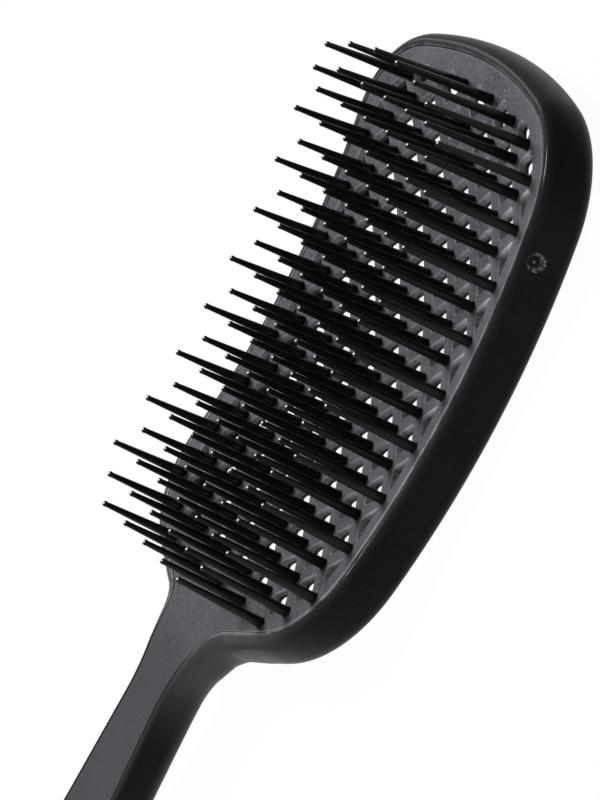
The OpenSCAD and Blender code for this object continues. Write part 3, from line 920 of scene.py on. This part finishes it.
class BRUSH_OT_shell(bpy.types.Operator):
    """Builds the one-piece shell: rim of the head, neck and back of the handle"""

    bl_idname = "brush.shell"
    bl_label = "Shell"

    def section(self, form, p, n):
        """Points [place, depth] round the shell's wall at a point of the seam."""
        s = form.s
        m, g, d = form.neck_mix(p.y), form.grip_mix(p.y), form.depth_at(p)
        wide, lip = mix(s.bulge_w, s.handle_bulge_w, m), mix(s.lip_w, s.handle_lip_w, m) - LIP_CUT
        wide_at = mix(mix(s.bulge_depth, s.neck_bulge_depth, m), s.grip_bulge_depth, g)
        spine = Vector((0, max(p.y, s.end_corner_r - s.handle_end)))
        edge = p + n * s.back_edge_w
        if m > 0:
            edge = edge.lerp(spine + (p - spine).normalized() * s.back_flat_half_w, m)
        bulge = p + n * wide
        ledge_low = form.ledge_depth + s.ledge_t
        found = [(p + n * s.seam_gap, form.ledge_depth)]
        for k in range(SEAM_STEPS + 1):
            a = math.pi / 2 * k / SEAM_STEPS
            found.append((p + n * (s.seam_gap + SEAM_ROUND * (1 - math.cos(a))),
                          SEAM_ROUND * (1 - math.sin(a))))
        for k in range(WALL_STEPS + 1):
            a = math.pi / 2 * k / WALL_STEPS
            found.append((p + n * mix(lip, wide, math.sin(a)), wide_at * (1 - math.cos(a))))
        for k in range(1, WALL_STEPS + 1):
            a = math.pi / 2 * k / WALL_STEPS
            found.append((bulge.lerp(edge, 1 - math.cos(a)), mix(wide_at, d, math.sin(a))))
        outer_end = len(found) - 1
        found += [(edge - n * s.back_edge_t / 2, d - EDGE_ROUND / 6),
                  (edge - n * s.back_edge_t, d - EDGE_ROUND),
                  (p - n * INNER_INSET, ledge_low), (p - n * s.ledge_w, ledge_low),
                  (p - n * s.ledge_w, form.ledge_depth)]
        placed = []
        for q, depth in found:
            if depth > ledge_low:
                stretch = (form.depth_at(q) - ledge_low) / (d - ledge_low)
                depth = ledge_low + (depth - ledge_low) * stretch
            placed.append(Vector((q.x, q.y, form.face_z(q, depth))))
        return placed, outer_end

    def light_marks(self, form, y, q):
        """Shares at a row of the section, by name: painted highlight, painted seam shade, painted
        sheen and polish.
        """
        neck_y = form.s.neck_y
        row = q - WALL_START
        on_head = smooth((y + neck_y) / (neck_y / 4))
        at_neck = smooth(1 - abs(y + neck_y - NECK_SHEEN_ABOVE) / NECK_SHEEN_REACH)
        painted_sheen = polish = 0.0
        # The sheen painted on the neck, beside the lip and on the foot of the wall
        if row >= 0:
            foot = smooth((row - FOOT_START_ROW) / FOOT_ROWS)
            foot *= smooth((form.bend_y - y) / FOOT_SHEEN_FADE)
            neck = NECK_SHEEN_SHARE + LIP_SHEEN_SHARE * smooth(1 - row / LIP_ROWS)
            painted_sheen = neck * at_neck + FOOT_SHEEN_SHARE * foot
        if 0 <= row <= 2 * WALL_STEPS:
            hand = HAND_POLISH_SHARE * smooth(1 - row / HAND_ROWS) * (1 - at_neck)
            rim = RIM_POLISH_SHARE * shine_along(y) * smooth(1 - abs(row - RIM_ROW) / RIM_ROWS)
            polish = mix(hand, rim, on_head)
        return {"edge": on_head * shine_along(y) * HIGHLIGHT_ROW_SHARES.get(q, 0.0),
                "seam_shade": (1 - on_head) * SEAM_SHADE_ROW_SHARES.get(q, 0.0),
                "painted_sheen": painted_sheen, "polish": polish}

    def skin(self, form):
        """Points, faces and marks of the shell; the left half mirrors the right."""
        ring_end, last = len(form.ring) - 1, len(form.seam) - 1
        sections = [self.section(form, p, n) for p, n in zip(form.seam, normals(form.seam))]
        outer_end = sections[0][1]
        count = len(sections[0][0])
        filled = [count - 1] + list(range(outer_end + 1))
        points, right, left = [], {}, {}
        marks = {"edge": [], "seam_shade": [], "painted_sheen": [], "polish": []}
        for i, (placed, _) in enumerate(sections):
            sides = (1, -1) if i > 0 else (1,)
            for q in range(count) if i <= ring_end else filled:
                right[i, q], left[i, q] = len(points), len(points) + len(sides) - 1
                for side in sides:
                    points.append(Vector((side * placed[q].x, placed[q].y, placed[q].z)))
                    for mark, share in self.light_marks(form, placed[q].y, q).items():
                        marks[mark].append(share)
        faces = []
        for i in range(last):
            order = list(range(count)) + [0] if i < ring_end else filled
            for q, t in zip(order, order[1:]):
                faces.append((right[i, q], right[i, t], right[i + 1, t], right[i + 1, q]))
                faces.append((left[i, t], left[i, q], left[i + 1, q], left[i + 1, t]))
            if i >= ring_end:
                for q in (outer_end, count - 1):
                    faces.append((right[i, q], left[i, q], left[i + 1, q], right[i + 1, q]))
        for end, order in ((ring_end, range(outer_end, count)), (last, filled)):
            order = list(order)
            for q, t in zip(order, order[1:]):
                faces.append((right[end, q], right[end, t], left[end, t], left[end, q]))
        return points, faces, marks

    def gate_centre(self, form):
        """Place of the gate mark, partly down the bulging wall of the head."""
        s = form.s
        out_w = mix(s.lip_w - LIP_CUT, s.bulge_w, math.sin(GATE_TURN))
        place = Vector((s.head_half_w + out_w, s.gate_y))
        depth = s.bulge_depth * (1 - math.cos(GATE_TURN))
        return Vector((*place, form.face_z(place, depth))) + form.origin

    def execute(self, context):
        form = Form(context.scene.brush_sizes)
        points, faces, marks = self.skin(form)
        material = satin_shell(context.scene.brush_colours.shell, self.gate_centre(form),
                               form.s.gate_r)
        add_mesh("shell_skin", points, faces, "back_shell", material, form.origin,
                 marks)
        return {"FINISHED"}


class BRUSH_OT_pins(bpy.types.Operator):
    """Builds the rows of pins, each pin with its flange and round tip"""

    bl_idname = "brush.pins"
    bl_label = "Pins"

    def profile(self, s, tall):
        """(radius, height) up a pin this tall."""
        tip_r, neck_r, root_r = s.pin_tip_d / 2, s.pin_neck_d / 2, s.pin_root_d / 2
        low = s.flange_lift - s.plate_t
        flange_r = root_r + s.flange_w
        rows = [(flange_r, low), (flange_r, low + s.flange_t), (root_r, low + s.flange_t),
                (root_r, 0.0)]
        start = -math.acos(neck_r / tip_r)
        for k in range(TIP_STEPS + 1):
            a = mix(start, TIP_END, k / TIP_STEPS)
            rows.append((tip_r * math.cos(a), tall - tip_r + tip_r * math.sin(a)))
        return rows

    def pin_row(self, form, row, material):
        """Builds one row of pins as a piece."""
        s, steps = form.s, form.s.round_steps
        profile = self.profile(s, s.pin_l + (s.top_row_more_l if row == 0 else 0))
        points, faces = [], []
        for foot, lean in form.pin_places(row):
            some_points, some_faces = revolve(profile, foot, lean, steps)
            faces += [[v + len(points) for v in face] for face in some_faces]
            points += some_points
        # The tip rings, on which the highlight is painted
        tip_highlight_start = (len(profile) - HIGHLIGHT_RINGS) * steps
        tip = [float(k % (len(profile) * steps) >= tip_highlight_start) for k in range(len(points))]
        add_mesh(f"pins_{row + 1:02d}", points, faces, f"pin_row_{row + 1:02d}",
                 material, form.origin, {"tip": tip})

    def execute(self, context):
        form = Form(context.scene.brush_sizes)
        material = polished_nylon(context.scene.brush_colours.pins)
        for row in range(LAST_ROW + 1):
            self.pin_row(form, row, material)
        return {"FINISHED"}


# The photograph's camera, in the frame of the brush before it is set on the floor
CAMERA_AT = Vector((531.2, 66.0, 317.6)) * MM
CAMERA_RIGHT = Vector((0.3936, 0.4556, -0.7984))
CAMERA_UP = Vector((-0.3316, 0.8804, 0.3390))
CAMERA_CLIP = (0.01, 20)
SENSOR_MM = 24
LENS_MM = 102

LAMP_TARGET = Vector((0, 50, 10)) * MM
FLOOR_HALF_W = 4.0
FLOOR_DROP = 0.02 * MM
FLOOR_WHITE_SHARE = 0.97
SKY_LIGHT = 0.26
SKY_WHITE = 1.0


class BRUSH_OT_stage(bpy.types.Operator):
    """Sets out the floor, the lights, the world and the camera"""

    bl_idname = "brush.stage"
    bl_label = "Stage"

    def backdrop_ray(self, tree):
        """1 for a ray that sees the backdrop, also in gloss or through glass; 0 for its light."""
        path = add_node(tree, "ShaderNodeLightPath")
        seen = path.outputs["Is Camera Ray"]
        for way in ("Is Glossy Ray", "Is Transmission Ray"):
            seen = add_node(tree, "ShaderNodeMath", {"operation": "MAXIMUM"},
                            {0: seen, 1: path.outputs[way]})
        return seen

    def floor(self, context):
        """A pale paper floor, nearly white where it is seen, which keeps the shadow."""
        material = new_material("Pale paper floor")
        tree = material.node_tree
        paper = add_node(tree, "ShaderNodeBsdfDiffuse", {},
                         {"Color": linear(context.scene.brush_colours.floor)})
        glow = add_node(tree, "ShaderNodeEmission", {}, {"Color": (1, 1, 1, 1), "Strength": 1.0})
        share = add_node(tree, "ShaderNodeMath", {"operation": "MULTIPLY"},
                         {0: self.backdrop_ray(tree), 1: FLOOR_WHITE_SHARE})
        both = add_node(tree, "ShaderNodeMixShader", {}, {"Fac": share, 1: paper, 2: glow})
        add_node(tree, "ShaderNodeOutputMaterial", {}, {"Surface": both})
        mesh = bpy.data.meshes.new("floor")
        corners = [(x * FLOOR_HALF_W, y * FLOOR_HALF_W, -FLOOR_DROP)
                   for x, y in ((-1, -1), (1, -1), (1, 1), (-1, 1))]
        mesh.from_pydata(corners, [], [(0, 1, 2, 3)])
        mesh.materials.append(material)
        plane = bpy.data.objects.new("floor", mesh)
        context.scene.collection.objects.link(plane)

    def world(self, context):
        """A white backdrop that gives the object only a part of that light."""
        world = bpy.data.worlds.new("White studio")
        world.use_nodes = True
        tree = world.node_tree
        tree.nodes.clear()
        level = add_node(tree, "ShaderNodeMapRange", {},
                         {"Value": self.backdrop_ray(tree), "To Min": SKY_LIGHT,
                          "To Max": SKY_WHITE})
        sky = add_node(tree, "ShaderNodeBackground", {},
                       {"Color": (1, 1, 1, 1), "Strength": level})
        add_node(tree, "ShaderNodeOutputWorld", {}, {"Surface": sky})
        context.scene.world = world

    def light(self, context, name, way, away, size, power, mirrored=True):
        """A square lamp that looks at the head from a direction, mirrored in gloss or not."""
        data = bpy.data.lights.new(name, "AREA")
        data.size = size
        data.energy = power
        lamp = bpy.data.objects.new(name, data)
        way = Vector(way).normalized()
        lamp.location = LAMP_TARGET + way * away
        lamp.rotation_euler = way.to_track_quat("Z", "Y").to_euler()
        lamp.visible_glossy = mirrored
        context.scene.collection.objects.link(lamp)

    def camera(self, context, form):
        """The camera that took the photograph."""
        data = bpy.data.cameras.new("photo_camera")
        data.sensor_width = SENSOR_MM
        data.lens = LENS_MM
        data.clip_start, data.clip_end = CAMERA_CLIP
        camera = bpy.data.objects.new("photo_camera", data)
        right, up = CAMERA_RIGHT.normalized(), CAMERA_UP.normalized()
        back = right.cross(up)
        turn = Matrix((right, up, back)).transposed().to_4x4()
        camera.matrix_world = Matrix.Translation(CAMERA_AT + form.origin) @ turn
        context.scene.collection.objects.link(camera)
        context.scene.camera = camera

    def execute(self, context):
        self.floor(context)
        self.world(context)
        self.light(context, "key", (-0.4, 0.12, 0.9), away=0.45, size=0.09, power=1.7)
        self.light(context, "low", (0.5, -0.85, 0.12), away=1.0, size=0.6, power=19,
                   mirrored=False)
        self.light(context, "far", (-0.85, 0.2, 0.5), away=1.0, size=0.3, power=1.2)
        self.camera(context, Form(context.scene.brush_sizes))
        context.scene.view_settings.view_transform = "Standard"
        return {"FINISHED"}


class BRUSH_PT_pieces(bpy.types.Panel):
    """Lists the pieces of the brush"""

    bl_label = "Detangling brush"
    bl_idname = "BRUSH_PT_pieces"
    bl_space_type = "VIEW_3D"
    bl_region_type = "UI"
    bl_category = "Brush"

    def draw(self, context):
        for operator in OPERATORS:
            self.layout.operator(operator.bl_idname)


OPERATORS = (BRUSH_OT_front_plate, BRUSH_OT_rear_grille, BRUSH_OT_shell, BRUSH_OT_pins,
             BRUSH_OT_stage)
CLASSES = (BrushSizes, BrushColours, *OPERATORS, BRUSH_PT_pieces)


def register():
    for cls in CLASSES:
        bpy.utils.register_class(cls)
    bpy.types.Scene.brush_sizes = PointerProperty(type=BrushSizes)
    bpy.types.Scene.brush_colours = PointerProperty(type=BrushColours)


def unregister():
    del bpy.types.Scene.brush_colours
    del bpy.types.Scene.brush_sizes
    for cls in reversed(CLASSES):
        bpy.utils.unregister_class(cls)


def main():
    register()
    bpy.ops.brush.front_plate()
    bpy.ops.brush.rear_grille()
    bpy.ops.brush.shell()
    bpy.ops.brush.pins()
    bpy.ops.brush.stage()


if __name__ == "__main__":
    main()
